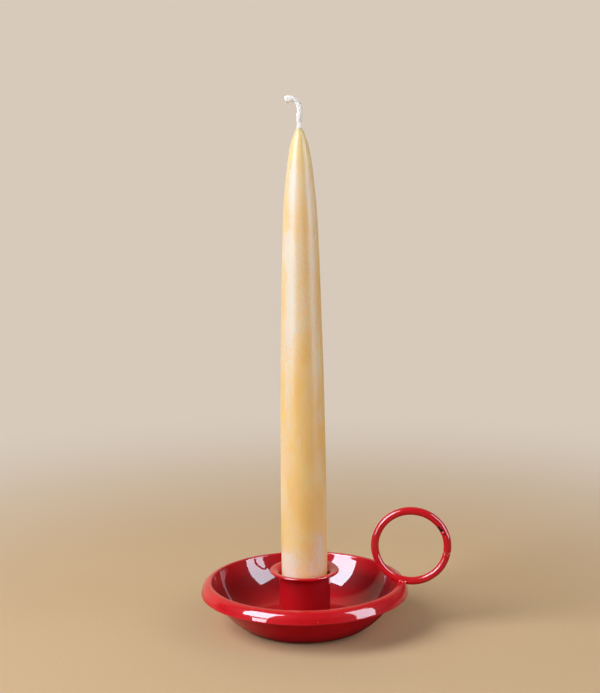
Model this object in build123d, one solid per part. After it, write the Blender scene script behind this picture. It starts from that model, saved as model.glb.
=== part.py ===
"""A chamberstick: a round drip dish with a candle cup in its middle and a finger ring on its rim,
holding a tapered candle.

The origin is the middle of the dish's flat underside. +Z is up along the candle, +X points from the candle
to the finger ring. Sizes are millimetres, angles are degrees.
"""
import os
from math import acos, cos, degrees, radians, sin

from build123d import *

# The drip dish, pressed from one sheet. Bend radii are those on the inside of the bend.
DISH_SHEET = 0.8
BASE_FLAT_RADIUS = 25.6
CORNER_BEND_RADIUS = 10.2
CORNER_BEND_TURN = 32.5
FLANK_BEND_RADIUS = 31.7
FLANK_BEND_TURN = 43.4
CREST_BEND_RADIUS = 0.1
RIM_BEND_RADIUS = 2.86
RIM_BEND_TURN = 58.0
RIM_SIDE_RADIUS = 5.7
RIM_SIDE_TURN = 22.0
RIM_SKIRT_DEPTH = 1.3

# The candle cup, drawn from one sheet, with a flared mouth
CUP_SHEET = 0.9
CUP_FOOT_BEND_RADIUS = 1.05
CUP_FOOT_BEND_TURN = 90.0
CUP_STRAIGHT_WALL = 20.9
FLARE_BEND_RADIUS = 2.95
FLARE_BEND_TURN = 103.0

# The bead round the cup's foot
CUP_WELD_CLIMB = 0.3     # how far it climbs past the foot bend
CUP_WELD_ROOT = 1.0      # how far it reaches under the foot bend

# The finger ring, one round bar bent to a ring and butted
RING_BAR_DIAMETER = 3.8
RING_BEND_RADIUS = 17.35 # to the middle of the bar
RING_SEAT_ANGLE = 14.9   # how far out from the rim's crown the ring stands
RING_SEAT_DEPTH = 0.9    # how deep the bar is filed hollow to sit on the rim
SEAM_ANGLE = -12.0       # where the ends meet, seen from the front: 0 points outwards, 90 up
SEAM_WIDTH = 0.6
SEAM_GROOVE = 0.3        # how far the slug lies below the bar's surface

# The bead round the ring's seat
RING_WELD_REACH = 2.9    # to each side of the seat, along the bar
RING_WELD_PROUD = 1.0    # beyond the bar's front and back
RING_WELD_RISE = 1.7     # above the rim

# The candle and its wick
CANDLE_RADIUS = 11.0
CANDLE_CLEARANCE = 0.45
CANDLE_LENGTH = 236.5
CANDLE_STRAIGHT = 38.0
SHOULDER_BELOW_TIP = 46.7
SHOULDER_RADIUS = 8.25
NECK_BELOW_TIP = 12.4
NECK_RADIUS = 5.2
TIP_LAND = 0.45          # width of the wax left round the wick at the very tip
WICK_DIAMETER = 2.4
WICK_CLEARANCE = 0.02
WICK_FREE_RUN = 8.6
WICK_BEND_RADIUS = 6.5
WICK_BEND_TURN = 55.0
WICK_CURL_RADIUS = 2.5
WICK_CURL_TURN = 100.0
WICK_END_RUN = 1.0

OUT = Vector(1, 0)
IN = Vector(-1, 0)
UP = Vector(0, 1)
DOWN = Vector(0, -1)
FULL_ROUND = -180.0


def run(length):
    return "run", length, 0.0


def bend(radius, turn):
    """A bend to the left where turn is positive, to the right where it is negative."""
    return "bend", radius, turn


def sheet_face(height, moves, sheet, lift):
    """One face of a bent sheet as edges, going out from the axis: lift is its height above the middle line."""
    at = Vector(0, height + lift)
    heading = OUT
    edges = []
    for kind, size, turn in moves:
        if kind == "run":
            edge = Line(at, at + heading * size)
        else:
            edge = JernArc(at, heading, size + sheet / 2 - (lift if turn > 0 else -lift), turn)
        edges.append(edge)
        at, heading = edge @ 1, edge % 1
    return edges


def spun_sheet(underside, moves, sheet):
    """A sheet pressing turned about the Z axis, with a full round free edge. Gives its upper face too."""
    middle = underside + sheet / 2
    upper = sheet_face(middle, moves, sheet, sheet / 2)
    lower = sheet_face(middle, moves, sheet, -sheet / 2)
    free_edge = JernArc(upper[-1] @ 1, upper[-1] % 1, sheet / 2, FULL_ROUND)
    at_axis = Line(lower[0] @ 0, upper[0] @ 0)
    section = make_face(upper + [free_edge] + lower + [at_axis])
    return revolve(Plane.XZ * section, Axis.Z), upper


def round_bar(radius, bend_radius, turn):
    """A round bar bent about the Z axis, starting on the +X axis."""
    section = Plane.XZ * Pos(bend_radius, 0) * Circle(radius)
    return revolve(section, Axis.Z, turn)


# The dish, and the round of its rim taken as a full bar, which the ring's seat is cut to
dish, dish_upper = spun_sheet(
    0,
    [
        run(BASE_FLAT_RADIUS),
        bend(CORNER_BEND_RADIUS, CORNER_BEND_TURN),
        bend(FLANK_BEND_RADIUS, FLANK_BEND_TURN),
        bend(CREST_BEND_RADIUS, -(CORNER_BEND_TURN + FLANK_BEND_TURN)),
        bend(RIM_BEND_RADIUS, -RIM_BEND_TURN),
        bend(RIM_SIDE_RADIUS, -RIM_SIDE_TURN),
        run(RIM_SKIRT_DEPTH),
    ],
    DISH_SHEET,
)
dish_floor = DISH_SHEET
rim_arc = dish_upper[-3]
rim_middle = Vector(rim_arc.center_point.X, 0, rim_arc.center_point.Y)
rim_round = RIM_BEND_RADIUS + DISH_SHEET
rim_filled = Pos(0, 0, rim_middle.Z) * round_bar(rim_round, rim_middle.X, 360)

# The candle cup, standing on the dish floor
cup_bore_radius = CANDLE_RADIUS + CANDLE_CLEARANCE
cup_outer_radius = cup_bore_radius + CUP_SHEET
cup_floor = dish_floor + CUP_SHEET
candle_socket, _ = spun_sheet(
    dish_floor,
    [
        run(cup_bore_radius - CUP_FOOT_BEND_RADIUS),
        bend(CUP_FOOT_BEND_RADIUS, CUP_FOOT_BEND_TURN),
        run(CUP_STRAIGHT_WALL),
        bend(FLARE_BEND_RADIUS, -FLARE_BEND_TURN),
    ],
    CUP_SHEET,
)

# The bead that fills the nook round the cup's foot, hollow on its outer face
foot_round = CUP_FOOT_BEND_RADIUS + CUP_SHEET
bead_round = foot_round + CUP_WELD_CLIMB
bead_root = (cup_outer_radius - CUP_WELD_ROOT, dish_floor)
bead_toe = (cup_outer_radius + bead_round, dish_floor)
bead_face = JernArc(bead_toe, IN, bead_round, -CUP_FOOT_BEND_TURN)
bead_wall = Line(bead_face @ 1, (cup_outer_radius, dish_floor + foot_round))
root_turn = degrees(acos(1 - CUP_WELD_ROOT / foot_round))
bead_foot = JernArc(bead_wall @ 1, DOWN, foot_round, -root_turn)
bead_bottom = Polyline(bead_foot @ 1, bead_root, bead_toe)
bead_section = make_face([bead_face, bead_wall, bead_foot, bead_bottom])
socket_weld = revolve(Plane.XZ * bead_section, Axis.Z)

# The finger ring stands square on the rim's round, and is filed hollow there
bar_radius = RING_BAR_DIAMETER / 2
seat_direction = Vector(sin(radians(RING_SEAT_ANGLE)), 0, cos(radians(RING_SEAT_ANGLE)))
seat_point = rim_middle + seat_direction * rim_round
ring_centre = seat_point + seat_direction * (RING_BEND_RADIUS + bar_radius - RING_SEAT_DEPTH)
ring_place = Location(ring_centre, (90, 0, 0))
seam_turn = degrees(SEAM_WIDTH / RING_BEND_RADIUS)
bar = round_bar(bar_radius, RING_BEND_RADIUS, 360 - seam_turn)
finger_ring = ring_place * Rot(0, 0, SEAM_ANGLE + seam_turn / 2) * bar - rim_filled

# The slug that closes the ring's butt joint
slug = round_bar(bar_radius - SEAM_GROOVE, RING_BEND_RADIUS, seam_turn)
ring_seam_weld = ring_place * Rot(0, 0, SEAM_ANGLE - seam_turn / 2) * slug

# The bead round the ring's seat, which swells out in front of the bar and behind it
swell = scale(Sphere(1), by=(RING_WELD_REACH, bar_radius + RING_WELD_PROUD, RING_WELD_RISE))
ring_weld = Location(seat_point, (0, RING_SEAT_ANGLE, 0)) * swell - rim_filled - dish - finger_ring

# The candle: straight at its foot, then an ever steeper taper in three arcs
tip_height = cup_floor + CANDLE_LENGTH
wick_bore_radius = WICK_DIAMETER / 2 + WICK_CLEARANCE
foot_side = Line(
    (CANDLE_RADIUS, cup_floor + CUP_FOOT_BEND_RADIUS), (CANDLE_RADIUS, cup_floor + CANDLE_STRAIGHT)
)
body_taper = TangentArc(foot_side @ 1, (SHOULDER_RADIUS, tip_height - SHOULDER_BELOW_TIP), tangent=UP)
shoulder_taper = TangentArc(
    body_taper @ 1, (NECK_RADIUS, tip_height - NECK_BELOW_TIP), tangent=body_taper % 1
)
tip_taper = TangentArc(
    shoulder_taper @ 1, (wick_bore_radius + TIP_LAND, tip_height), tangent=shoulder_taper % 1
)
tip_and_bore = Polyline(
    tip_taper @ 1,
    (wick_bore_radius, tip_height),
    (wick_bore_radius, cup_floor),
    (CANDLE_RADIUS - CUP_FOOT_BEND_RADIUS, cup_floor),
    foot_side @ 0,
)
candle_section = make_face([foot_side, body_taper, shoulder_taper, tip_taper, tip_and_bore])
candle = revolve(Plane.XZ * candle_section, Axis.Z)

# The wick: up through the candle, then a gentle bend and a tight curl over to -X
wick_run = Line((0, cup_floor), (0, tip_height + WICK_FREE_RUN))
wick_bend = JernArc(wick_run @ 1, UP, WICK_BEND_RADIUS, WICK_BEND_TURN)
wick_curl = JernArc(wick_bend @ 1, wick_bend % 1, WICK_CURL_RADIUS, WICK_CURL_TURN)
wick_end = Line(wick_curl @ 1, wick_curl @ 1 + (wick_curl % 1) * WICK_END_RUN)
wick_path = Plane.XZ * Wire([wick_run, wick_bend, wick_curl, wick_end])
wick_section = Circle(WICK_DIAMETER / 2)
wick = sweep(Pos(0, 0, cup_floor) * wick_section, path=wick_path)

pieces = {
    "dish": dish,
    "candle_socket": candle_socket,
    "socket_weld": socket_weld,
    "finger_ring": finger_ring,
    "ring_seam_weld": ring_seam_weld,
    "ring_weld": ring_weld,
    "candle": candle,
    "wick": wick,
}
os.makedirs("parts", exist_ok=True)
for name, piece in pieces.items():
    export_step(piece, f"parts/{name}.step")

rim_box = dish.bounding_box()
lip_box = candle_socket.bounding_box()
print(f"dish {rim_box.size.X:.1f} across and {rim_box.max.Z:.1f} high")
print(f"cup lip {lip_box.size.X:.1f} across at {lip_box.max.Z:.1f}, bore {2 * cup_bore_radius:.1f}")
print(f"ring centre at X {ring_centre.X:.2f}, Z {ring_centre.Z:.2f}; candle tip at {tip_height:.1f}")
print(f"wick volume {wick.volume:.1f}, section times length {wick_section.area * wick_path.length:.1f}")
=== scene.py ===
# %% [markdown]
# # A red enamelled chamberstick
# A chamberstick is a low candle holder that is carried from room to room: a drip dish, a cup for the candle
# and a ring for one finger. Its exact solids are already there, as a frame that stays fixed. This lesson
# gives each of them its finished surface: glossy red enamel over pressed steel, a dipped beeswax candle
# with pale bloom, and a braided cotton wick.

# %% Load the frame
import random
from math import atan2, ceil, cos, degrees, exp, pi, radians, sin, tan

import bmesh
import bpy
from mathutils import Matrix, Vector


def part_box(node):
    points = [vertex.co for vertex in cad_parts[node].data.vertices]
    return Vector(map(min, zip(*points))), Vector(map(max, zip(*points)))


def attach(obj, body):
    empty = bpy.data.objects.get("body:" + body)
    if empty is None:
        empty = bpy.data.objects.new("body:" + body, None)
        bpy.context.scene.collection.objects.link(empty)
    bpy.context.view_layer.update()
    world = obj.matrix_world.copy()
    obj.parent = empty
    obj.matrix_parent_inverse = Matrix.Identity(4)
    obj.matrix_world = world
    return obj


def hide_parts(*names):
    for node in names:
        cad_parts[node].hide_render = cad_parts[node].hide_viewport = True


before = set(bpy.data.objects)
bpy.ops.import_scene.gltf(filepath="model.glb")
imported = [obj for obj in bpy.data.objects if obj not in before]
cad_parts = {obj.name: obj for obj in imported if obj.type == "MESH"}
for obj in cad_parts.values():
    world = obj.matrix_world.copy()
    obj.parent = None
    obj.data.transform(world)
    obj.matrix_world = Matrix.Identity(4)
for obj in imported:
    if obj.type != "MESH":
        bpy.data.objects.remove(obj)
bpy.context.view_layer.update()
MM = 0.001
bpy.context.scene.view_settings.view_transform = "Standard"
print("nodes:", ", ".join(sorted(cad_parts)))

# %% [markdown]
# ## The camera
# The object is seen from a little above, through a long lens from about 0.8 m, so the dish shows as a flat
# ellipse and the candle hardly narrows by distance. A camera looks along its own -Z, so it is tilted up
# from straight down, turned to face the object, and rolled by a fraction of a degree.

# %% Camera
CAMERA_PLACE = (0.0695, -0.7853, 0.2779)
CAMERA_TURN = 5.12
CAMERA_TILT = 79.829
CAMERA_ROLL = -0.702
CAMERA_LENS = 88.33


def turned(axis, angle):
    return Matrix.Rotation(radians(angle), 3, axis)


bpy.ops.object.select_all(action="DESELECT")
bpy.ops.object.camera_add(location=CAMERA_PLACE)
camera = bpy.context.object
camera_turns = turned("Z", CAMERA_TURN) @ turned("X", CAMERA_TILT) @ turned("Z", CAMERA_ROLL)
camera.rotation_euler = camera_turns.to_euler()
camera.data.lens = CAMERA_LENS
bpy.context.scene.camera = camera
print("camera", round(Vector(CAMERA_PLACE).length, 3), "m from the dish")

# %% [markdown]
# ## The light
# Enamel is a mirror with colour under it, so its look is mostly the shape of the lamps. Two large soft
# panels stand in front, one on the left and one on the right. Their directions are measured from their
# mirror images on the rim, in the dish and on the ring. A small white card stands low on the left, and
# shows as the lower spot on the rim.
#
# What gives light and what is mirrored are lamps of their own. A lamp that only shows in mirror images can
# be as bright as a real studio lamp without bleaching the colours. The others light the object at a plain
# level. The main light stands a little further round to the left than the left panel's mirror image, so
# that the shadow falls to the right, and a weak light from the front lifts the middle of the candle.

# %% Soft panels
LIGHT_DISTANCE = 1.5
MIRROR_DISTANCE = 0.9
AIM = Vector((0, 0, 0.03))
WHITE = (1, 1, 1)
MIRROR_TINT = (0.72, 0.87, 1.0)


def soft_panel(name, azimuth, elevation, wide, tall, light=0.0, mirror=0.0):
    """A lamp panel that faces the object. Azimuth 0 is in front and 90 on the ring's side. Wide and tall
    are the angles that it fills, seen from the object."""
    a, e = radians(azimuth), radians(elevation)
    away = Vector((sin(a) * cos(e), -cos(a) * cos(e), sin(e)))
    uses = (("light", light, LIGHT_DISTANCE), ("mirror", mirror, MIRROR_DISTANCE))
    for use, brightness, distance in uses:
        if not brightness:
            continue
        bpy.ops.object.light_add(type="AREA", location=AIM + away * distance)
        lamp = bpy.context.object
        lamp.name = f"{name}_{use}"
        lamp.rotation_euler = away.to_track_quat("Z", "Y").to_euler()
        lamp.visible_glossy = use == "mirror"
        lamp.visible_diffuse = use == "light"
        lamp.data.color = MIRROR_TINT if use == "mirror" else WHITE
        lamp.data.shape = "RECTANGLE"
        lamp.data.size = 2 * distance * tan(radians(wide / 2))
        lamp.data.size_y = 2 * distance * tan(radians(tall / 2))
        lamp.data.energy = brightness * pi * lamp.data.size * lamp.data.size_y
        print(lamp.name, round(lamp.data.size, 2), "by", round(lamp.data.size_y, 2), "m")


soft_panel("left_panel", azimuth=-50, elevation=34, wide=32, tall=46, mirror=29.0)
soft_panel("main_light", azimuth=-61, elevation=37, wide=34, tall=42, light=6.6)
soft_panel("right_panel", azimuth=72.5, elevation=22.5, wide=25, tall=49, light=1.8, mirror=16.5)
soft_panel("front_panel", azimuth=22, elevation=30, wide=50, tall=40, light=1.15)
soft_panel("low_card", azimuth=-44, elevation=2, wide=16, tall=8, mirror=24.0)

# %% [markdown]
# ## Nodes for materials
# Every finish here is made of nodes. Most of these helpers add one node and give back its output, which
# goes into the next one, so that a material reads from top to bottom as a recipe.

# %% Node helpers


def set_inputs(tree, node, inputs):
    """Sets a node's inputs, each to a plain value or to another node's output."""
    for socket, value in inputs.items():
        if isinstance(value, bpy.types.NodeSocket):
            tree.links.new(value, node.inputs[socket])
        else:
            node.inputs[socket].default_value = value


def add_node(tree, kind, inputs=None, **settings):
    made = tree.nodes.new(kind)
    for key, value in settings.items():
        setattr(made, key, value)
    set_inputs(tree, made, inputs or {})
    return made


def noise(tree, place, scale, detail=2.0):
    """A cloudy value about 0.5. The scale is in grains to the metre."""
    settings = {"Vector": place, "Scale": scale, "Detail": detail}
    return add_node(tree, "ShaderNodeTexNoise", settings).outputs[0]


def math(tree, operation, first, second=0.0):
    return add_node(tree, "ShaderNodeMath", {0: first, 1: second}, operation=operation).outputs[0]


def ramp(tree, value, low, high, start=0.0, end=1.0, smooth=True):
    """Takes a value from low to high over to start to end, and holds it there outside that stretch."""
    kind = "SMOOTHSTEP" if smooth else "LINEAR"
    inputs = {"Value": value, "From Min": low, "From Max": high, "To Min": start, "To Max": end}
    return add_node(tree, "ShaderNodeMapRange", inputs, interpolation_type=kind).outputs[0]


def mixed(tree, factor, first, second):
    """One colour turning to another. The first colour shows where the factor is 0."""
    inputs = {0: factor, 6: first, 7: second}
    return add_node(tree, "ShaderNodeMix", inputs, data_type="RGBA").outputs[2]


def bump(tree, height, depth, over=None):
    """Dents and rises of a given depth, on top of another bump if there is one."""
    inputs = {"Height": height, "Distance": depth, "Strength": 1.0}
    if over is not None:
        inputs["Normal"] = over
    return add_node(tree, "ShaderNodeBump", inputs).outputs[0]


def new_finish(name):
    """An empty material, with its node tree, its main shader and its Object coordinates."""
    material = bpy.data.materials.new(name)
    material.use_nodes = True
    tree = material.node_tree
    place = add_node(tree, "ShaderNodeTexCoord").outputs["Object"]
    return material, tree, tree.nodes["Principled BSDF"], place


def feed(tree, shader, **inputs):
    """Sets the main shader's inputs. Underscores in a name stand for spaces."""
    set_inputs(tree, shader, {name.replace("_", " "): value for name, value in inputs.items()})


print("node helpers ready")

# %% [markdown]
# ## Floor and surroundings
# The object stands on a plain pale floor. Close by, the floor is an ordinary matt surface that takes the
# shadow. Further out it turns into the same even tone as the surroundings, so no horizon shows.
#
# What the enamel mirrors is set apart from what the camera sees, because a bright room all round would wash
# out the red. In mirror images the room is pale only behind on the left and dim elsewhere. The mirrored
# floor has a painted shadow under the dish, except on the left, where the main light reaches in. The world
# gives warm light from low behind and a little from everywhere else.

# %% What each kind of ray sees
ROOM_DIM = (0.03, 0.025, 0.02, 1)
ROOM_PALE = (0.75, 0.60, 0.46, 1)
PAST_PALE_EDGE = (0.225, 0.974, 0)
PALE_EDGE = (-0.02, 0.14)
LEFTWARDS = (-1, 0, 0)
PALE_SIDE = (-0.85, 0.2)


def ray_is(tree, *kinds):
    """1 for light that is seen in one of these ways, and 0 for all other light."""
    rays = add_node(tree, "ShaderNodeLightPath").outputs
    found = rays[f"Is {kinds[0]} Ray"]
    for kind in kinds[1:]:
        found = math(tree, "MAXIMUM", found, rays[f"Is {kind} Ray"])
    return found


def pointing(tree, direction, way):
    """How far a direction points one way: 1 straight along it, 0 square to it, -1 away from it."""
    ways = {0: direction, 1: way}
    return add_node(tree, "ShaderNodeVectorMath", ways, operation="DOT_PRODUCT").outputs["Value"]


def room_in_mirror(tree, direction):
    """The room's tone as the enamel mirrors it: dim, and pale behind on the left."""
    past_edge = ramp(tree, pointing(tree, direction, PAST_PALE_EDGE), *PALE_EDGE)
    on_left = ramp(tree, pointing(tree, direction, LEFTWARDS), *PALE_SIDE)
    return mixed(tree, math(tree, "MULTIPLY", past_edge, on_left), ROOM_DIM, ROOM_PALE)


print("the mirrored room goes from", ROOM_DIM[:3], "to", ROOM_PALE[:3])

# %% The floor
SURROUND = (0.68, 0.59, 0.50, 1)
FLOOR = (0.65, 0.472, 0.283, 1)
FLOOR_GRAINS = 900
GRAIN_SHADE = 0.97
FLOOR_BOUNCE = (0.34, 0.25, 0.16, 1)
FLOOR_IN_MIRROR = (0.50, 0.36, 0.22, 1)
SHADOW_UNDER_DISH = (0.03, 0.022, 0.015, 1)
UNDER_DISH = (0.040, 0.070)
LIT_TO_UNLIT = (-0.040, -0.008)
BEHIND_DISH = (0.04, 0.09)
SHADOW_TO_PLAIN = (0.12, 0.48)
FLOOR_SIZE = 8.0

bpy.ops.object.select_all(action="DESELECT")
bpy.ops.mesh.primitive_plane_add(size=FLOOR_SIZE)
floor = bpy.context.object
floor.name = "floor"
floor_finish, tree, shader, place = new_finish("pale_floor")
distance = add_node(tree, "ShaderNodeVectorMath", {0: place}, operation="LENGTH").outputs["Value"]
outwards = add_node(tree, "ShaderNodeVectorMath", {0: place}, operation="NORMALIZE").outputs["Vector"]
sides = add_node(tree, "ShaderNodeSeparateXYZ", {0: place}).outputs
grain = ramp(tree, noise(tree, place, FLOOR_GRAINS, 4.0), 0.3, 0.7)
seen = mixed(tree, grain, [c * GRAIN_SHADE for c in FLOOR[:3]] + [1], FLOOR)
near_tone = mixed(tree, ray_is(tree, "Camera"), FLOOR_BOUNCE, seen)
# The mirrored floor gets a painted shadow under the dish, except on the left
under = mixed(tree, ramp(tree, sides["X"], *LIT_TO_UNLIT), FLOOR_IN_MIRROR, SHADOW_UNDER_DISH)
mirrored = mixed(tree, ramp(tree, distance, *UNDER_DISH), under, FLOOR_IN_MIRROR)
mirrored = mixed(tree, ramp(tree, sides["Y"], *BEHIND_DISH), mirrored, FLOOR)
near_tone = mixed(tree, ray_is(tree, "Glossy"), near_tone, mirrored)
feed(tree, shader, Base_Color=near_tone, Roughness=0.9, Specular_IOR_Level=0.1)
far_tone = mixed(tree, ray_is(tree, "Glossy"), SURROUND, room_in_mirror(tree, outwards))
seen_far = ray_is(tree, "Camera", "Glossy", "Transmission")
far = math(tree, "MULTIPLY", ramp(tree, distance, *SHADOW_TO_PLAIN), seen_far)
even_tone = add_node(tree, "ShaderNodeEmission", {"Color": far_tone}).outputs[0]
fade = add_node(tree, "ShaderNodeMixShader", {0: far, 1: shader.outputs[0], 2: even_tone})
tree.links.new(fade.outputs[0], tree.nodes["Material Output"].inputs["Surface"])
floor.data.materials.append(floor_finish)
print("floor", FLOOR_SIZE, "m wide")

# %% The surroundings
FILL = (0.045, 0.042, 0.038, 1)
BACK_FILL = (1.6, 1.31, 1.02, 1)
BACKWARDS = (0, 1, 0)
BEHIND = (0.0, 0.6)
UPWARDS = (0, 0, 1)
LOW_TO_HIGH = (0.25, 0.75)

world = bpy.data.worlds.new("surroundings")
bpy.context.scene.world = world
world.use_nodes = True
tree = world.node_tree
direction = add_node(tree, "ShaderNodeTexCoord").outputs["Generated"]
behind = ramp(tree, pointing(tree, direction, BACKWARDS), *BEHIND)
low_down = ramp(tree, pointing(tree, direction, UPWARDS), *LOW_TO_HIGH, 1.0, 0.0)
tone = mixed(tree, math(tree, "MULTIPLY", behind, low_down), FILL, BACK_FILL)
tone = mixed(tree, ray_is(tree, "Camera", "Transmission"), tone, SURROUND)
tone = mixed(tree, ray_is(tree, "Glossy"), tone, room_in_mirror(tree, direction))
tree.links.new(tone, tree.nodes["Background"].inputs["Color"])
print("surroundings with", len(tree.nodes), "nodes")

# %% [markdown]
# ## Red enamel
# The holder is coated after it is welded, with a layer of coloured glass that is fired on. The colour lies
# under a clear hard gloss, so the shader has a coat over its base, and the base keeps a weak, rough gloss
# of its own, which gives a faint haze. The coat isn't quite flat but has the faint ripple of orange peel,
# which is a bump. It holds a few pale specks, and the red is a little deeper where it is thick.
#
# Painted shade makes the red far deeper on the walls of the bowl and the cup, more so towards the right.
# How much of it lies where is painted on the points of a piece as an attribute, which the shader reads.

# %% Enamel
RED = (0.66, 0.007, 0.015, 1)
DEEP_RED = (0.58, 0.004, 0.010, 1)
# Painted shade: the far deeper red on the walls of the bowl and the cup
PAINTED_SHADE_RED = (0.21, 0.0012, 0.004, 1)
DEPTH_CLOUDS = 60
SPECK = (0.62, 0.30, 0.26, 1)
SPECK_GRAINS = 260
SPECK_REACH = (0.035, 0.06)
SPECK_STRENGTH = 0.6
BASE_CLOUDS = 35
BASE_ROUGHNESS = (0.42, 0.50)
PEEL_GRAINS = 700
PEEL_DEPTH = 0.004 * MM
WAVES = 90
WAVE_DEPTH = 0.05 * MM
BARE_STEEL = (0.012, 0.010, 0.010, 1)
BARE_ROUGHER = 0.4
CHIP_EDGE = 0.15 * MM
CHIP_GRAINS = 1800
CHIP_RAGGED = 0.9 * MM


def chipped(tree, place, chips):
    """1 inside the chips and 0 outside them, with a ragged edge."""
    wander = math(tree, "SUBTRACT", noise(tree, place, CHIP_GRAINS, 3.0), 0.5)
    ragged = math(tree, "MULTIPLY", wander, CHIP_RAGGED)
    bare = None
    for centre, reach in chips:
        inputs = {0: place, 1: centre}
        away = add_node(tree, "ShaderNodeVectorMath", inputs, operation="DISTANCE").outputs["Value"]
        spot = ramp(tree, math(tree, "ADD", away, ragged), reach - CHIP_EDGE, reach, 1.0, 0.0)
        bare = spot if bare is None else math(tree, "MAXIMUM", bare, spot)
    return bare


def enamel(name, chips=()):
    """The red coat. Chips are places where it has come off the steel, each with its reach."""
    material, tree, shader, place = new_finish(name)
    depth = ramp(tree, noise(tree, place, DEPTH_CLOUDS, 3.0), 0.35, 0.7)
    grains = {"Vector": place, "Scale": SPECK_GRAINS}
    away = add_node(tree, "ShaderNodeTexVoronoi", grains).outputs["Distance"]
    spots = ramp(tree, away, *SPECK_REACH, SPECK_STRENGTH, 0.0)
    specks = math(tree, "MULTIPLY", spots, ramp(tree, depth, 0.6, 0.8))
    # Painted shade, read from the points
    painted_shade = add_node(tree, "ShaderNodeAttribute", attribute_name="painted_shade").outputs["Fac"]
    colour = mixed(tree, painted_shade, mixed(tree, depth, RED, DEEP_RED), PAINTED_SHADE_RED)
    colour = mixed(tree, specks, colour, SPECK)
    rough = ramp(tree, noise(tree, place, BASE_CLOUDS), 0.3, 0.7, *BASE_ROUGHNESS)
    peel = bump(tree, noise(tree, place, PEEL_GRAINS), PEEL_DEPTH)
    peel = bump(tree, noise(tree, place, WAVES, 1.0), WAVE_DEPTH, over=peel)
    coat = 1.0
    if chips:
        bare = chipped(tree, place, chips)
        colour = mixed(tree, bare, colour, BARE_STEEL)
        rough = math(tree, "ADD", rough, math(tree, "MULTIPLY", bare, BARE_ROUGHER))
        coat = math(tree, "SUBTRACT", 1.0, bare)
    feed(tree, shader, Base_Color=colour, Roughness=rough, Specular_IOR_Level=0.04, Normal=peel)
    feed(tree, shader, Coat_Weight=coat, Coat_Roughness=0.03, Coat_IOR=1.42, Coat_Normal=peel)
    return material


red_enamel = enamel("red_enamel")
print("enamel with", len(red_enamel.node_tree.nodes), "nodes")

# %% [markdown]
# ## Turning on a lathe
# The dish, the cup and the candle are all round about the Z axis, as if turned on a lathe. In Blender that
# is a spin: half of the section is drawn as a chain of points in the XZ plane, and the chain is spun round
# the axis. A mesh of one point is needed to start from, and a small plane merged to its middle gives one.
#
# A pressed sheet's section is a walk: straight runs and bends, as a maker would bend a strip. The two faces
# of the sheet lie half a thickness to the left and the right of that walk.

# %% Sections
RUN_STEP = 1.2 * MM
BEND_STEP = 7.5
EDGE_STEPS = 8


def run(length):
    return length, 0.0


def bend(radius, turn):
    """A bend to the left where the turn is above 0, and to the right where it is below."""
    return radius * radians(abs(turn)), turn


def ahead(heading):
    return Vector((cos(heading), sin(heading)))


def to_the_left(heading):
    return Vector((-sin(heading), cos(heading)))


def walk(start, heading, moves):
    """The places along a section, each with its heading in radians. Places are radius and height."""
    place, heading = Vector(start), radians(heading)
    trail = [(place.copy(), heading)]
    for length, turn in moves:
        steps = ceil(max(length / RUN_STEP, abs(turn) / BEND_STEP))
        half_turn = radians(turn) / steps / 2
        chord = length / steps * (sin(half_turn) / half_turn if turn else 1.0)
        for _ in range(steps):
            heading += half_turn
            place = place + chord * ahead(heading)
            heading += half_turn
            trail.append((place.copy(), heading))
    return trail


def sheet_outline(trail, sheet, edge_bead):
    """Both faces of a bent sheet, with a rounded free edge that the coat makes a little thicker."""
    end, end_heading = trail[-1]
    upper, lower = [], []
    for place, heading in trail:
        reach = (place - end).length / edge_bead
        half = sheet / 2 + (edge_bead - sheet / 2) * exp(-reach * reach)
        upper.append(place + half * to_the_left(heading))
        lower.append(place - half * to_the_left(heading))
    edge = []
    for step in range(1, EDGE_STEPS):
        a = pi / 2 - pi * step / EDGE_STEPS
        edge.append(end + edge_bead * (cos(a) * ahead(end_heading) + sin(a) * to_the_left(end_heading)))
    return upper + edge + lower[::-1]


print("a point every", RUN_STEP / MM, "mm and every", BEND_STEP, "degrees")

# %% The lathe
SPIN_STEPS = 192
SAME_POINT = 0.001 * MM


def lathe(name, outline):
    """Draws an outline point by point and spins it."""
    bpy.ops.object.select_all(action="DESELECT")
    bpy.ops.mesh.primitive_plane_add(size=MM)
    piece = bpy.context.object
    piece.name = name
    bpy.ops.object.mode_set(mode="EDIT")
    bpy.ops.mesh.merge(type="CENTER")
    bpy.ops.transform.translate(value=(outline[0].x, 0, outline[0].y))
    for here, there in zip(outline, outline[1:]):
        step = (there.x - here.x, 0, there.y - here.y)
        bpy.ops.mesh.extrude_vertices_move(TRANSFORM_OT_translate={"value": step})
    bpy.ops.mesh.select_all(action="SELECT")
    bpy.ops.mesh.spin(steps=SPIN_STEPS, angle=2 * pi, center=(0, 0, 0), axis=(0, 0, 1))
    bpy.ops.mesh.select_all(action="SELECT")
    bpy.ops.mesh.remove_doubles(threshold=SAME_POINT)
    bpy.ops.mesh.normals_make_consistent(inside=False)
    bpy.ops.object.mode_set(mode="OBJECT")
    bpy.ops.object.shade_smooth()
    return piece


print("a full turn in", SPIN_STEPS, "steps")

# %% Helpers for every piece


def focus(piece):
    bpy.ops.object.select_all(action="DESELECT")
    piece.select_set(True)
    bpy.context.view_layer.objects.active = piece


def apply_modifier(piece, kind, **settings):
    focus(piece)
    modifier = piece.modifiers.new(kind.lower(), kind)
    for key, value in settings.items():
        setattr(modifier, key, value)
    bpy.ops.object.modifier_apply(modifier=modifier.name)


def uneven(piece, size, height):
    """Moves a surface in and out in soft clouds, so that it isn't as true as a machined one."""
    clouds = bpy.data.textures.new(piece.name + "_clouds", "CLOUDS")
    clouds.noise_scale = size
    settings = {"texture": clouds, "texture_coords": "LOCAL", "strength": height, "mid_level": 0.5}
    apply_modifier(piece, "DISPLACE", **settings)


def share_between(low, high, value):
    """How far a value has come from low to high: 0 at low, 1 at high, and no further."""
    return min(max((value - low) / (high - low), 0), 1)


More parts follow.
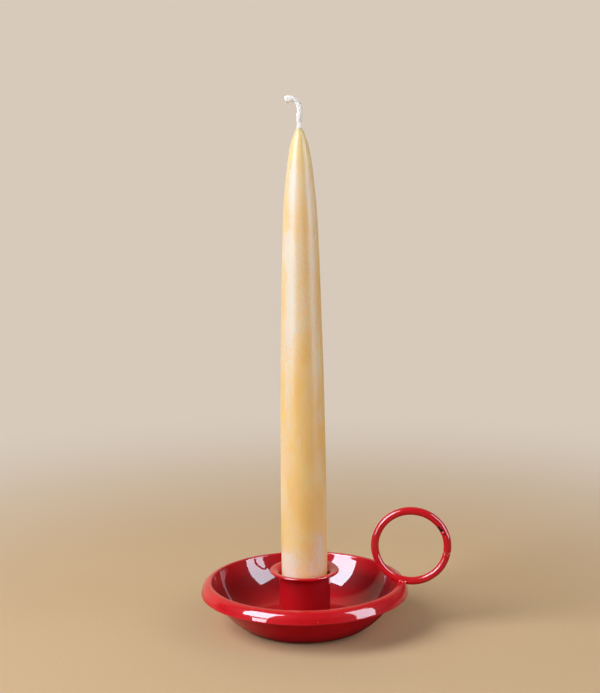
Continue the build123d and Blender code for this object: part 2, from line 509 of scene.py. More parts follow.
def paint(piece, name, value_at):
    """Gives every point of a piece a value that its material can read."""
    layer = piece.data.attributes.new(name, "FLOAT", "POINT")
    layer.data.foreach_set("value", [value_at(point) for point in piece.data.vertices])


def darker_to_right(point, reach, painted_shade):
    """How much painted shade there is, growing from the left side to the right."""
    left, right = painted_shade
    return left + (right - left) * share_between(-reach, reach, point.co.x)


def report(piece, node):
    """Prints a piece's size beside that of the node that it stands for."""
    low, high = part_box(node)
    made = [round(v / MM, 2) for v in piece.dimensions]
    wanted = [round(v / MM, 2) for v in high - low]
    print(piece.name, made, "mm for", wanted, len(piece.data.polygons), "faces")


print("helpers ready")

# %% [markdown]
# ## The drip dish
# The dish is one pressing: a flat base, a corner, a bowed flank, a sharp crest and a rim that turns over
# outwards, first tightly and then gently, and ends in a short skirt. A slight waviness bends the mirror
# images of the lamps, as on every real pressing. The bowl's wall is painted with shade, more towards the
# right.

# %% The drip dish
DISH_SHEET = 0.8 * MM
BASE_FLAT = 25.6 * MM
CORNER_RADIUS, CORNER_TURN = 10.6 * MM, 32.5
FLANK_RADIUS, FLANK_TURN = 32.1 * MM, 43.4
CREST_RADIUS = 0.5 * MM
RIM_RADIUS, RIM_TURN = 3.26 * MM, 58.0
RIM_SIDE_RADIUS, RIM_SIDE_TURN = 6.1 * MM, 22.0
RIM_SKIRT = 1.3 * MM
RIM_BEAD = 0.5 * MM
# Painted shade on the bowl's wall: where it rises, and how much from left to right
SHADE_RISE = (30 * MM, 39 * MM)
SHADE_EDGE = 4 * MM
BOWL_SHADE = (0.72, 1.0)


def shade_in_bowl(point):
    """Painted shade on the bowl's wall, but not on its floor, its crest or its outside."""
    radius = point.co.to_2d().length
    if point.normal.z < 0 or radius > crest.x:
        return 0.0
    wall = share_between(*SHADE_RISE, radius) * share_between(crest.x, crest.x - SHADE_EDGE, radius)
    return wall * darker_to_right(point, crest.x, BOWL_SHADE)


bowl_moves = [
    run(BASE_FLAT),
    bend(CORNER_RADIUS, CORNER_TURN),
    bend(FLANK_RADIUS, FLANK_TURN),
    bend(CREST_RADIUS, -CORNER_TURN - FLANK_TURN),
]
rim_moves = [bend(RIM_RADIUS, -RIM_TURN), bend(RIM_SIDE_RADIUS, -RIM_SIDE_TURN), run(RIM_SKIRT)]
bowl_trail = walk((0, DISH_SHEET / 2), 0, bowl_moves)
crest = bowl_trail[-1][0]
dish_trail = bowl_trail + walk(crest, 0, rim_moves)[1:]
dish = lathe("enamelled_dish", sheet_outline(dish_trail, DISH_SHEET, RIM_BEAD))
uneven(dish, size=14 * MM, height=0.07 * MM)
paint(dish, "painted_shade", shade_in_bowl)
dish.data.materials.append(red_enamel)
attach(dish, "holder")
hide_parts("dish")
report(dish, "dish")

# %% [markdown]
# ## The candle cup
# The cup is drawn from sheet too: a floor that stands on the dish, a tight bend, a straight wall and a
# mouth that flares out like a trumpet. Its free edge is the most rounded one, because the coat gathers
# there. The wall gets painted shade too, more towards the right, but the flare gets none.

# %% The candle cup
CUP_SHEET = 0.9 * MM
CUP_BORE_RADIUS = 11.45 * MM
CUP_FOOT_RADIUS = 1.5 * MM
CUP_WALL = 20.9 * MM
FLARE_RADIUS, FLARE_TURN = 3.4 * MM, 103.0
FLARE_HEIGHT = 25 * MM
LIP_BEAD = 0.6 * MM
# Painted shade on the cup's wall, from left to right
CUP_SHADE = (0.28, 0.6)


def shade_on_cup(point):
    """Painted shade on the cup's wall, but not on its flare."""
    if point.co.z >= FLARE_HEIGHT:
        return 0.0
    return darker_to_right(point, CUP_BORE_RADIUS, CUP_SHADE)


cup_moves = [
    run(CUP_BORE_RADIUS + CUP_SHEET / 2 - CUP_FOOT_RADIUS),
    bend(CUP_FOOT_RADIUS, 90),
    run(CUP_WALL),
    bend(FLARE_RADIUS, -FLARE_TURN),
]
cup_trail = walk((0, DISH_SHEET + CUP_SHEET / 2), 0, cup_moves)
cup = lathe("enamelled_cup", sheet_outline(cup_trail, CUP_SHEET, LIP_BEAD))
uneven(cup, size=9 * MM, height=0.04 * MM)
paint(cup, "painted_shade", shade_on_cup)
cup.data.materials.append(red_enamel)
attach(cup, "holder")
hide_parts("candle_socket")
report(cup, "candle_socket")

# %% [markdown]
# ## The bead round the cup's foot
# A welded bead fills the nook between cup and dish. Its face is hollow, and it ripples where the torch went
# round, so it is turned on the lathe and then made more uneven than the sheets.

# %% The cup's bead
BEAD_REACH = 2.25 * MM
CUP_OUTSIDE = CUP_BORE_RADIUS + CUP_SHEET
BEAD_ROOT = 0.9 * MM

bead_face = walk((CUP_OUTSIDE + BEAD_REACH, DISH_SHEET), 180, [bend(BEAD_REACH, -90)])
bead_outline = [place for place, _ in bead_face]
bead_outline += [Vector((CUP_OUTSIDE - BEAD_ROOT, DISH_SHEET)), bead_outline[0]]
cup_bead = lathe("cup_foot_bead", bead_outline)
uneven(cup_bead, size=4 * MM, height=0.25 * MM)
cup_bead.data.materials.append(red_enamel)
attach(cup_bead, "holder")
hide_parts("socket_weld")
report(cup_bead, "socket_weld")

# %% [markdown]
# ## The finger ring
# The ring is a round bar, bent until its two ends meet. The ends don't meet perfectly: the lower one lies a
# little further in. So the ring is a circle spun almost all the way round, with both ends capped and
# rounded, and the lower end is pushed in with a soft falloff, as when a vice nudges it. A knock has chipped
# the coat on the inside. Its dents are pushed in the same way, and a flake of the coat is drawn out.
#
# Where the ring stands on the dish, it is filed hollow: a bar as thick as the rim's outside is cut out.

# %% Places on the ring
BAR_RADIUS = 1.9 * MM
BAR_SIDES = 40
SEAM_ANGLE = -12.0
SEAM_GAP = 0.6 * MM
ring_low, ring_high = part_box("finger_ring")
ring_radius = (ring_high.x - ring_low.x) / 2 - BAR_RADIUS
ring_centre = Vector(((ring_low.x + ring_high.x) / 2, 0, ring_high.z - ring_radius - BAR_RADIUS))
seam_turn = degrees(SEAM_GAP / ring_radius)
upper_end = SEAM_ANGLE + seam_turn / 2
lower_end = SEAM_ANGLE - seam_turn / 2


def on_ring(angle, side=0.0, radius=0.0):
    """A place on the ring: the angle is 0 outwards and 90 up, and side is 0 outside and 90 in front."""
    a, s = radians(angle), radians(side)
    out = Vector((cos(a), 0, sin(a)))
    return ring_centre + out * (ring_radius + radius * cos(s)) - Vector((0, radius * sin(s), 0))


def angle_on_ring(place):
    return degrees(atan2(place.z - ring_centre.z, place.x - ring_centre.x))


def bar_stretch(name, start, turn, radius, steps):
    """A stretch of round bar along the ring, with both its ends capped. Leaves it in edit mode."""
    bpy.ops.object.select_all(action="DESELECT")
    turned_to = (0, -radians(start), 0)
    bpy.ops.mesh.primitive_circle_add(
        vertices=BAR_SIDES, radius=radius, location=on_ring(start), rotation=turned_to, fill_type="NGON"
    )
    piece = bpy.context.object
    piece.name = name
    bpy.ops.object.transform_apply(location=True, rotation=True, scale=True)
    bpy.ops.object.mode_set(mode="EDIT")
    bpy.ops.mesh.spin(steps=steps, angle=radians(turn), center=ring_centre, axis=(0, -1, 0))
    bpy.ops.mesh.select_all(action="SELECT")
    bpy.ops.mesh.normals_make_consistent(inside=False)
    return piece


print("ring", round(ring_radius / MM, 2), "mm to the middle of its bar")
print("gap of", round(seam_turn, 2), "degrees between its ends")

# %% The finger ring
RING_STEPS = 300
END_ROUND = 0.35 * MM
END_SHIFT = 0.08 * MM
END_SHIFT_REACH = 7 * MM
JUST_PAST_HALF = 0.51
JUST_PAST_BAR = 1.05 * BAR_RADIUS


def pick(piece, test):
    """In edit mode, selects the points whose places pass a test."""
    bpy.ops.mesh.select_all(action="DESELECT")
    shape = bmesh.from_edit_mesh(piece.data)
    for point in shape.verts:
        if test(point.co):
            point.select_set(True)
    shape.select_flush(True)
    bmesh.update_edit_mesh(piece.data)


def nudge(step, reach):
    """Moves what is selected, and draws its surroundings along with a soft falloff."""
    bpy.ops.transform.translate(
        value=step,
        use_proportional_edit=True,
        use_proportional_connected=True,
        proportional_edit_falloff="SMOOTH",
        proportional_size=reach,
    )


def on_end_face(place):
    """Whether a place lies on one of the bar's two end faces, half a gap from the seam's middle."""
    ends = [on_ring(upper_end), on_ring(lower_end)]
    if min((place - end).length for end in ends) >= BAR_RADIUS + SAME_POINT:
        return False
    return abs(angle_on_ring(place) - SEAM_ANGLE) < seam_turn * JUST_PAST_HALF


ring = bar_stretch("finger_ring_bar", upper_end, 360 - seam_turn, BAR_RADIUS, RING_STEPS)
pick(ring, on_end_face)
bpy.ops.mesh.bevel(offset=END_ROUND, segments=3, affect="EDGES")
inwards = (ring_centre - on_ring(lower_end)).normalized()
pick(ring, lambda place: (place - on_ring(lower_end)).length < JUST_PAST_BAR)
nudge(inwards * END_SHIFT, END_SHIFT_REACH)
bpy.ops.object.mode_set(mode="OBJECT")
print("ring with", len(ring.data.polygons), "faces")

# %% The chips in the coat
CHIP_PLACES = [(36.2, 118, 0.85 * MM), (30.3, 113, 0.95 * MM), (22.4, 96, 0.50 * MM)]
CHIP_DEPTH = 0.12 * MM
CHIP_SPREAD = 1.3
CHIP_SURROUNDINGS = 3.4 * MM
FLAKE_PLACE = (24.6, 105)
FLAKE_HEIGHT = 0.45 * MM
FLAKE_REACH = 0.75 * MM
chip_spots = [(on_ring(angle, side, BAR_RADIUS), reach) for angle, side, reach in CHIP_PLACES]
flake_spot = on_ring(*FLAKE_PLACE, BAR_RADIUS)
middle_chip = chip_spots[1][0]


def push_at(piece, spot, depth, reach):
    """Pushes the surface in about one spot, towards the middle of the bar, or out where depth is below 0."""
    shape = bmesh.from_edit_mesh(piece.data)
    nearest = min((point.co - spot).length for point in shape.verts)
    pick(piece, lambda place: (place - spot).length <= nearest + SAME_POINT)
    nudge((on_ring(angle_on_ring(spot)) - spot).normalized() * depth, reach)


focus(ring)
bpy.ops.object.mode_set(mode="EDIT")
bpy.ops.mesh.select_mode(type="VERT")
pick(ring, lambda place: (place - middle_chip).length < CHIP_SURROUNDINGS)
bpy.ops.mesh.subdivide(number_cuts=2, smoothness=1.0)
for spot, reach in chip_spots:
    push_at(ring, spot, CHIP_DEPTH, reach * CHIP_SPREAD)
push_at(ring, flake_spot, -FLAKE_HEIGHT, FLAKE_REACH)
bpy.ops.object.mode_set(mode="OBJECT")
print("chips at", [[round(v / MM, 1) for v in spot] for spot, _ in chip_spots])

# %% The ring's seat
RIM_OUTSIDE = RIM_RADIUS + DISH_SHEET / 2
RIM_SEGMENTS = 48
RING_CREASE = 40
rim_middle = crest - Vector((0, RIM_RADIUS))


def rim_bar():
    """The rim's round taken as a full bar, as a tool to cut with."""
    round_outline = []
    for step in range(RIM_SEGMENTS + 1):
        a = 2 * pi * step / RIM_SEGMENTS
        round_outline.append(rim_middle + RIM_OUTSIDE * Vector((cos(a), sin(a))))
    return lathe("rim_tool", round_outline)


def cut_by_rim(piece):
    """Files a piece hollow, so that it sits on the rim."""
    tool = rim_bar()
    apply_modifier(piece, "BOOLEAN", operation="DIFFERENCE", solver="EXACT", object=tool)
    bpy.data.objects.remove(tool)


cut_by_rim(ring)
focus(ring)
bpy.ops.object.shade_smooth_by_angle(angle=radians(RING_CREASE))
ring.data.materials.clear()
ring.data.materials.append(enamel("red_enamel_chipped", chips=chip_spots))
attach(ring, "holder")
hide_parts("finger_ring")
report(ring, "finger_ring")

# %% [markdown]
# ## The ring's seam
# A slug of weld closes the gap between the ends. It lies a little below the bar's surface, so a groove runs
# round the bar, and two small beads of it have come up in front. Slug and beads are joined and remeshed,
# which melts them into one lump.

# %% The ring's seam
SLUG_RADIUS = 1.72 * MM
SLUG_STEPS = 4
SEAM_BEADS = [(-9.9, 106, 0.55 * MM), (-13.0, 58, 0.55 * MM)]
SEAM_BEAD_SINK = 0.1 * MM
SEAM_GRAIN = 0.08 * MM


def blob(place, radii, turn=0.0):
    """A ball of weld, drawn out to three radii and leaned over about Y."""
    bpy.ops.object.select_all(action="DESELECT")
    lean = (0, radians(turn), 0)
    bpy.ops.mesh.primitive_uv_sphere_add(segments=24, ring_count=16, location=place, rotation=lean)
    ball = bpy.context.object
    ball.scale = radii
    bpy.ops.object.transform_apply(location=True, rotation=True, scale=True)
    return ball


def melted(name, lumps, grain, rounds=6):
    """Joins lumps into one piece, and lets them flow together."""
    bpy.ops.object.select_all(action="DESELECT")
    for lump in lumps:
        lump.select_set(True)
    bpy.context.view_layer.objects.active = lumps[0]
    bpy.ops.object.join()
    piece = bpy.context.object
    piece.name = name
    apply_modifier(piece, "REMESH", mode="VOXEL", voxel_size=grain)
    apply_modifier(piece, "SMOOTH", factor=0.5, iterations=rounds)
    focus(piece)
    bpy.ops.object.shade_smooth()
    return piece


slug = bar_stretch("slug", lower_end, seam_turn, SLUG_RADIUS, SLUG_STEPS)
bpy.ops.object.mode_set(mode="OBJECT")
seam_lumps = [slug]
for angle, side, reach in SEAM_BEADS:
    seam_lumps.append(blob(on_ring(angle, side, BAR_RADIUS - SEAM_BEAD_SINK), (reach, reach, reach)))
seam = melted("ring_seam_slug", seam_lumps, SEAM_GRAIN)
seam.data.materials.append(red_enamel)
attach(seam, "holder")
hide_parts("ring_seam_weld")
report(seam, "ring_seam_weld")

# %% [markdown]
# ## The weld under the ring
# The ring is held by weld laid down on both sides of the bar. It set as separate lumps, with a dark crease
# between them, and the coat then ran over all of it. Balls of a few sizes are melted together, which keeps
# the creases, and the rim is then cut out of them so that they sit on it.

# %% The weld under the ring
SEAT_ANGLE = 14.9
WELD_GRAIN = 0.14 * MM
WELD_CREASE = 60
# Each lump lies so far out, back and up from the middle of the seat, and has three radii, in millimetres
WELD_LUMPS = [
    (-0.25, -2.0, 0.45, (1.15, 0.95, 1.05)),
    (2.0, -1.95, 0.95, (0.85, 0.75, 0.80)),
    (1.4, -2.1, -0.3, (1.2, 0.8, 0.9)),
    (0.9, 2.05, 0.35, (1.3, 0.9, 1.05)),
    (-1.5, 2.0, 0.4, (1.15, 0.95, 1.0)),
    (0.0, 0.0, 0.0, (2.7, 2.1, 1.2)),
]
seat_up = Vector((sin(radians(SEAT_ANGLE)), 0, cos(radians(SEAT_ANGLE))))
seat_out = Vector((cos(radians(SEAT_ANGLE)), 0, -sin(radians(SEAT_ANGLE))))
seat = Vector((rim_middle.x, 0, rim_middle.y)) + seat_up * RIM_OUTSIDE

lumps = []
for out, back, up, radii in WELD_LUMPS:
    middle = seat + (seat_out * out + Vector((0, back, 0)) + seat_up * up) * MM
    lumps.append(blob(middle, [r * MM for r in radii], SEAT_ANGLE))
weld = melted("ring_seat_bead", lumps, WELD_GRAIN)
cut_by_rim(weld)
focus(weld)
bpy.ops.object.shade_smooth_by_angle(angle=radians(WELD_CREASE))
weld.data.materials.clear()
weld.data.materials.append(red_enamel)
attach(weld, "holder")
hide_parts("ring_weld")
report(weld, "ring_weld")

# %% [markdown]
# ## Beeswax
# Beeswax lets light in a little way and scatters it, so it glows warmly: that is subsurface scattering.
# Near the thin tip the light goes less deep, or it would be lost in the wick's hole. After some weeks
# beeswax also grows a pale bloom, a frost that is rubbed off wherever hands touch it. The bloom is matt and
# nearly white. Where it lies is painted on the candle's points, and the shader breaks it up into
# streaks and grains, less so where it lies thick. The patches on the candle's left side are partly a
# painted sheen as well.

# %% Bloom and painted sheen
HAIRS = [(6, 1900), (-24, 1700), (33, 1700)]
HAIR_STRETCH = (1, 1, 5)
STREAK_SHARE = 0.6
RAGGED_MIDDLE = 0.85
VEIL = (0.05, 0.95)
THICK_BLOOM = (0.7, 1.15)
LEAST_FROST = (0.4, 0.9)
FLECKS = (0.52, 0.66)
GRAIN_FROST = (0.85, 1.0)


def hairs(tree, place, lean, scale):
    """Fine streaks that lean over to one side by an angle."""
    inputs = {"Vector": place, "Rotation": (0, radians(lean), 0), "Scale": HAIR_STRETCH}
    leaning = add_node(tree, "ShaderNodeMapping", inputs, vector_type="TEXTURE").outputs[0]
    return noise(tree, leaning, scale)


def frost_and_sheen_mask(tree, place, clouds, grains):
    """How much bloom and painted sheen show: what is painted on the points, with a ragged edge and broken up
    into flecks.
    """
    streaks = hairs(tree, place, *HAIRS[0])
    for lean, scale in HAIRS[1:]:
        streaks = math(tree, "MAXIMUM", streaks, hairs(tree, place, lean, scale))
    painted = add_node(tree, "ShaderNodeAttribute", attribute_name="bloom_and_sheen").outputs["Fac"]
    ragged = math(tree, "ADD", clouds, math(tree, "MULTIPLY", streaks, STREAK_SHARE))
    ragged = math(tree, "SUBTRACT", ragged, RAGGED_MIDDLE)
    veil = ramp(tree, math(tree, "ADD", painted, ragged), *VEIL)
    least = ramp(tree, painted, *THICK_BLOOM, *LEAST_FROST)
    flecks = ramp(tree, streaks, *FLECKS, least, 1.0)
    fine = math(tree, "MULTIPLY", flecks, ramp(tree, grains, 0.3, 0.7, *GRAIN_FROST))
    return math(tree, "MULTIPLY", veil, fine)


print("bloom streaks lean by", [lean for lean, _ in HAIRS], "degrees")

# %% Beeswax
AMBER = (0.92, 0.605, 0.215, 1)
HONEY = (0.94, 0.65, 0.255, 1)
STRAW = (0.98, 0.735, 0.385, 1)
BLOOM_AND_SHEEN = (0.85, 0.775, 0.69, 1)
WAX_CLOUDS = 110
CLOUD_STRETCH = (1.0, 1.0, 0.4)
CLOUD_DEPTH = 0.08 * MM
WAX_GRAINS = 2600
GRAIN_DEPTH = 0.01 * MM
WAX_ROUGHNESS = (0.36, 0.46)
LIGHT_REACH = (1.0, 0.5, 0.3)
LIGHT_DEPTH = 10 * MM
TIP_DEPTH = 1.5 * MM
THICK_SHARE = 0.65
THIN_SHARE = 0.5


def beeswax(name, straw_from, thin_from, top):
    """Wax with bloom and painted sheen. Towards its top it is straw-coloured, and less light goes in, and
    less deep.
    """
    material, tree, shader, place = new_finish(name)
    upright = add_node(tree, "ShaderNodeMapping", {"Vector": place, "Scale": CLOUD_STRETCH}).outputs[0]
    clouds = noise(tree, upright, WAX_CLOUDS, 3.0)
    grains = noise(tree, place, WAX_GRAINS, 3.0)
    frost_and_sheen = frost_and_sheen_mask(tree, place, clouds, grains)
    height = add_node(tree, "ShaderNodeSeparateXYZ", {0: place}).outputs["Z"]
    inside = ramp(tree, height, thin_from, top, THICK_SHARE, THIN_SHARE)
    reach = ramp(tree, height, straw_from, top, LIGHT_DEPTH, TIP_DEPTH, smooth=False)
    colour = mixed(tree, ramp(tree, clouds, 0.35, 0.7), AMBER, HONEY)
    colour = mixed(tree, ramp(tree, height, straw_from, top), colour, STRAW)
    # The pale colour is bloom, and on the left side partly a painted sheen
    colour = mixed(tree, frost_and_sheen, colour, BLOOM_AND_SHEEN)
    rough = ramp(tree, frost_and_sheen, 0.0, 0.8, *WAX_ROUGHNESS)
    surface = bump(tree, grains, GRAIN_DEPTH, over=bump(tree, clouds, CLOUD_DEPTH))
    feed(tree, shader, Base_Color=colour, Roughness=rough, Specular_IOR_Level=0.25, Normal=surface)
    feed(tree, shader, Subsurface_Weight=inside, Subsurface_Radius=LIGHT_REACH, Subsurface_Scale=reach)
    return material


print("wax lets red light in", LIGHT_DEPTH / MM, "mm")

# %% [markdown]
# ## The candle
# A dipped candle: straight at the foot where it fits the cup, then a taper that steepens towards the tip,
# in three arcs that run into each other smoothly. The wick's hole goes right through, so the outline is a
# closed loop beside the axis.

# %% The candle's shape
CANDLE_RADIUS = 11.0 * MM
CANDLE_STRAIGHT = 38.0 * MM
FOOT_ROUND = 1.05 * MM
SHOULDER = Vector((8.25, 46.7)) * MM
NECK = Vector((5.2, 12.4)) * MM
WICK_HOLE = 1.22 * MM
TIP_LAND = 0.45 * MM
TIP_ROUND = 0.3 * MM
candle_low, candle_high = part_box("candle")
foot, tip = candle_low.z, candle_high.z


def bend_to(trail, end):
    """The move that runs from the trail's end, in its heading, along one arc to a place."""
    start, heading = trail[-1]
    chord = end - start
    half_turn = atan2(chord.y, chord.x) - heading
    return chord.length * half_turn / sin(half_turn), degrees(2 * half_turn)


candle_side = walk((CANDLE_RADIUS, foot + FOOT_ROUND), 90, [run(CANDLE_STRAIGHT - FOOT_ROUND)])
for radius, below_tip in (SHOULDER, NECK, Vector((WICK_HOLE + TIP_LAND, TIP_ROUND))):
    start, heading = candle_side[-1]
    taper = bend_to(candle_side, Vector((radius, tip - below_tip)))
    candle_side += walk(start, degrees(heading), [taper])[1:]
candle_outline = [Vector((WICK_HOLE, foot)), Vector((CANDLE_RADIUS - FOOT_ROUND, foot))]
candle_outline += [place for place, _ in candle_side]
candle_outline += [Vector((WICK_HOLE + TIP_LAND / 2, tip)), Vector((WICK_HOLE, tip)), candle_outline[0]]
candle = lathe("beeswax_candle", candle_outline)
uneven(candle, size=32 * MM, height=0.16 * MM)
uneven(candle, size=7 * MM, height=0.06 * MM)
print("candle with", len(candle.data.polygons), "faces")

# %% The candle's bloom and painted sheen
# Patches of bloom; those on the candle's left side are partly a painted sheen.
# Each patch has an azimuth, a height, its reach in both, and its strength, in degrees and millimetres
BLOOM_AND_SHEEN_PATCHES = [
    (-24, 216, 24, 13, 0.62),
    (-26, 186, 15, 46, 0.50),
    (43, 213, 20, 10, 0.36),
    (48, 203, 16, 9, 0.34),
    (50, 186, 17, 14, 0.42),
    (4, 189, 8, 9, 0.35),
    (-45, 184, 26, 8, 0.60),
    (-28, 164, 24, 22, 0.52),
    (46, 161, 15, 20, 0.36),
    (8, 160, 14, 20, 0.25),
    (-36, 139, 20, 12, 0.50),
    (-38, 120, 14, 10, 0.45),
    (-33, 104, 8, 8, 0.30),
    (48, 130, 14, 20, 0.26),
    (55, 104, 14, 5, 0.45),
    (52, 81, 13, 8, 0.45),
    (70, 64, 8, 10, 0.50),
    (50, 37, 30, 11, 0.85),
    (-40, 31, 36, 8, 1.15),
    (-48, 76, 26, 34, 0.34),
    (21, 31, 6, 3, 0.50),
    (-4, 93, 2.5, 3, 0.45),
    (140, 180, 32, 45, 0.50),
    (-120, 150, 26, 60, 0.45),
    (170, 90, 30, 26, 0.45),
    (-95, 70, 20, 22, 0.45),
    (115, 60, 22, 20, 0.45),
    (180, 34, 60, 9, 0.65),
]
HAZE_FROM, HAZE_TO = 80, 150
HAZE_LOW, HAZE_HIGH = 0.10, 0.34
CLEAR_FROM, CLEAR_TO = 218, 232
STRAW_LENGTH = 70 * MM
THIN_LENGTH = 22 * MM


def bloom_and_sheen_at(point):
    """How much bloom and painted sheen lie at a point: patches over a haze that is thicker higher up. The
    tip is clear.
    """
    azimuth, height = degrees(atan2(point.co.x, -point.co.y)), point.co.z / MM
    total = HAZE_LOW + (HAZE_HIGH - HAZE_LOW) * share_between(HAZE_FROM, HAZE_TO, height)
    for middle, level, wide, tall, strength in BLOOM_AND_SHEEN_PATCHES:
        across = ((azimuth - middle + 180) % 360 - 180) / wide
        above = (height - level) / tall
        total += strength * exp(-across * across - above ** 4)
    return total * (1 - share_between(CLEAR_FROM, CLEAR_TO, height))


# Paints the bloom, which on the left side is partly a painted sheen
paint(candle, "bloom_and_sheen", bloom_and_sheen_at)
candle.data.materials.append(beeswax("beeswax", tip - STRAW_LENGTH, tip - THIN_LENGTH, tip))
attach(candle, "candle")
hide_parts("candle")
report(candle, "candle")

# %% [markdown]
# ## Cotton
# The wick is bleached cotton: matt, almost white, and a little furry, which the shader's sheen gives. Light
# goes right through its fibres, and its lower end is soaked with wax.

# %% Cotton
SOAKED = (0.93, 0.76, 0.44, 1)
COTTON = (0.95, 0.95, 0.96, 1)
COTTON_SHADE = (0.89, 0.90, 0.94, 1)
COTTON_GRAINS = 4000
COTTON_BUMP = 0.012 * MM
COTTON_DEPTH = 1.5 * MM


def cotton(name, soaked_from, soaked_to):
    """Cotton that is dry above one height, and soaked with wax below another."""
    material, tree, shader, place = new_finish(name)
    fibres = noise(tree, place, COTTON_GRAINS, 3.0)
    height = add_node(tree, "ShaderNodeSeparateXYZ", {0: place}).outputs["Z"]
    dry = ramp(tree, height, soaked_from, soaked_to)
    colour = mixed(tree, ramp(tree, fibres, 0.35, 0.65), COTTON_SHADE, COTTON)
    colour = mixed(tree, dry, SOAKED, colour)
    feed(tree, shader, Base_Color=colour, Roughness=0.85, Normal=bump(tree, fibres, COTTON_BUMP))
    feed(tree, shader, Sheen_Weight=0.4, Sheen_Roughness=0.4)
    feed(tree, shader, Subsurface_Weight=1.0, Subsurface_Radius=(1, 1, 1), Subsurface_Scale=COTTON_DEPTH)
    return material


print("light goes", COTTON_DEPTH / MM, "mm into cotton")

# %% [markdown]
# ## The wick
# The wick stands straight out of the wax, with a small flare where it is soaked, swells, and curls over to
# the left with a frayed end. It is braided: strands wind round its line both ways and pass over and under
# each other. The line is one smooth spline that a few listed points draw, and each strand is a tube
# that winds round it.
#
# Strands, core, flare and fibres are melted into one surface, because scattered light would show every
# overlap of tubes as a dark pit. The straight stem inside the wax is joined on last.

# %% The wick's line
# The spline's control points, across and up in the curl's plane, in millimetres
WICK_LINE = [
    (0, 236),
    (0, 240),
    (0, 243.5),
    (0.45, 246.2),
    (0.15, 248.9),
    (-1.2, 251.1),
    (-3.4, 252.3),
    (-5.5, 251.8),
]
LINE_PARTS = 12


def smooth_line(points):
    """Points along one smooth spline that is drawn by a few control points in the XZ plane."""
    curve = bpy.data.curves.new("wick_line", "CURVE")
    curve.dimensions = "3D"
    curve.resolution_u = LINE_PARTS
    spline = curve.splines.new("NURBS")
    spline.points.add(len(points) - 1)
    for point, (x, z) in zip(spline.points, points):
        point.co = (x * MM, 0, z * MM, 1)
    spline.order_u = 3
    spline.use_endpoint_u = True
    guide = bpy.data.objects.new("wick_line", curve)
    bpy.context.scene.collection.objects.link(guide)
    mesh = bpy.data.meshes.new_from_object(guide)
    places = [point.co.copy() for point in mesh.vertices]
    bpy.data.meshes.remove(mesh)
    bpy.data.objects.remove(guide)
    bpy.data.curves.remove(curve)
    return places


line = smooth_line(WICK_LINE)
lengths = [0.0]
for here, there in zip(line, line[1:]):
    lengths.append(lengths[-1] + (there - here).length)
wick_length = lengths[-1]
print("wick line", len(line), "points,", round(wick_length / MM, 1), "mm")

# %% Tubes along the line
# How thick the wick is at each share of its length, in millimetres
THICKNESS = [
    (0.0, 2.1),
    (0.24, 2.1),
    (0.40, 3.0),
    (0.53, 2.9),
    (0.66, 2.6),
    (0.78, 2.3),
    (0.88, 2.7),
    (1.0, 3.7),
]


def half_thickness(length):
    """Half of the wick's thickness at a length along it, read between the rows of the table."""
    share = length / wick_length
    for (a, low), (b, high) in zip(THICKNESS, THICKNESS[1:]):
        if share <= b:
            return (low + (high - low) * (share - a) / (b - a)) * MM / 2
    return THICKNESS[-1][1] * MM / 2


def line_frame(index):
    """A place on the line, the ways square to it in the curl's plane and to the back, and the way on."""
    before, after = line[max(index - 1, 0)], line[min(index + 1, len(line) - 1)]
    onward = (after - before).normalized()
    back = Vector((0, 1, 0))
    return line[index], onward.cross(back), back, onward


def tube(name, places, radii, sides=3):
    """A closed tube through places, each with its own radius. It is left selected."""
    curve = bpy.data.curves.new(name, "CURVE")
    curve.dimensions = "3D"
    curve.bevel_depth = 1.0
    curve.bevel_resolution = sides
    curve.use_fill_caps = True
    spline = curve.splines.new("POLY")
    spline.points.add(len(places) - 1)
    for point, place, radius in zip(spline.points, places, radii):
        point.co = (*place, 1)
        point.radius = radius
    made = bpy.data.objects.new(name, curve)
    bpy.context.scene.collection.objects.link(made)
    focus(made)
    bpy.ops.object.convert(target="MESH")
    return bpy.context.object


end, end_side, end_back, onward = line_frame(len(line) - 1)
print("the wick's line ends at", [round(v / MM, 1) for v in end], "mm")

# %% The wick's strands
STRANDS = 4
BRAID_PITCH = 9.0 * MM
STRAND_SHARE = 0.5
WEAVE = 0.10
CORE_SHARE = 0.92
CORE_END = [(0.45, 0.95), (0.75, 0.8), (0.9, 0.5)]
# The outline of the soaked flare: its radius, and its height above the wax, in millimetres
SOAKED_FLARE = [(1.0, 0.0), (1.5, 0.0), (1.3, 0.72), (1.1, 1.68), (1.0, 2.4), (1.0, 0.0)]

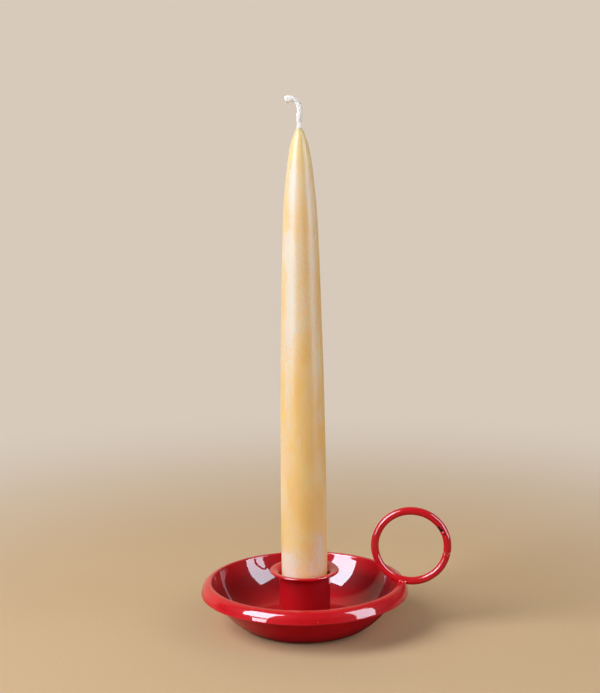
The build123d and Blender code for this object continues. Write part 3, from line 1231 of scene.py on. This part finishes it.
strands = []
for hand in (1, -1):
    for strand in range(STRANDS):
        places, radii = [], []
        for index, length in enumerate(lengths):
            middle, side, back, _ = line_frame(index)
            half = half_thickness(length)
            angle = hand * 2 * pi * length / BRAID_PITCH + 2 * pi * strand / STRANDS
            over = hand * cos(STRANDS * 2 * pi * length / BRAID_PITCH + strand * pi)
            lift = half * (1 - STRAND_SHARE) * (1 + WEAVE * over)
            places.append(middle + lift * (cos(angle) * side + sin(angle) * back))
            radii.append(half * STRAND_SHARE)
        strands.append(tube("strand", places, radii))
core_places = line.copy()
core_radii = [half_thickness(length) * CORE_SHARE for length in lengths]
end_radius = core_radii[-1]
for beyond, share in CORE_END:
    core_places.append(end + onward * beyond * MM)
    core_radii.append(end_radius * share)
strands.append(tube("core", core_places, core_radii))
flare_outline = [Vector((radius * MM, tip + height * MM)) for radius, height in SOAKED_FLARE]
strands.append(lathe("soaked_flare", flare_outline))
print(len(strands), "parts of the wick")

# %% The wick's frayed end
FIBRES = 46
FIBRE_RADIUS = 0.13 * MM
FIBRE_BITS = 5
FIBRE_ROOT = 0.8
FIBRE_OUT = (0.7, 1.4)
FIBRE_LEAN = (0.0, 0.35)
FIBRE_LENGTH = (0.9, 1.9)
chance = random.Random(11)
for _ in range(FIBRES):
    a = chance.uniform(0, 2 * pi)
    spread = cos(a) * end_side + sin(a) * end_back
    start = end + spread * chance.uniform(*FIBRE_OUT) * MM - onward * FIBRE_ROOT * MM
    lean = chance.uniform(*FIBRE_LEAN)
    reach = chance.uniform(*FIBRE_LENGTH) * MM
    places = []
    for bit in range(FIBRE_BITS):
        share = bit / (FIBRE_BITS - 1)
        places.append(start + reach * (onward * share + spread * lean * share * share))
    strands.append(tube("fibre", places, [FIBRE_RADIUS] * FIBRE_BITS, sides=1))
print(FIBRES, "fibres at the frayed end")

# %% The whole wick
WICK_GRAIN = 0.11 * MM
STEM_RADII = [1.15 * MM, 1.05 * MM]
STEM_BELOW_TIP = 1.5 * MM
SOAKED_BELOW, SOAKED_ABOVE = 0.2 * MM, 1.0 * MM

wick = melted("cotton_wick", strands, WICK_GRAIN, rounds=8)
tube("stem", [Vector((0, 0, foot)), Vector((0, 0, tip - STEM_BELOW_TIP))], STEM_RADII)
wick.select_set(True)
bpy.context.view_layer.objects.active = wick
bpy.ops.object.join()
bpy.ops.object.shade_smooth()
wick.data.materials.append(cotton("cotton", tip - SOAKED_BELOW, tip + SOAKED_ABOVE))
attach(wick, "candle")
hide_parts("wick")
report(wick, "wick")
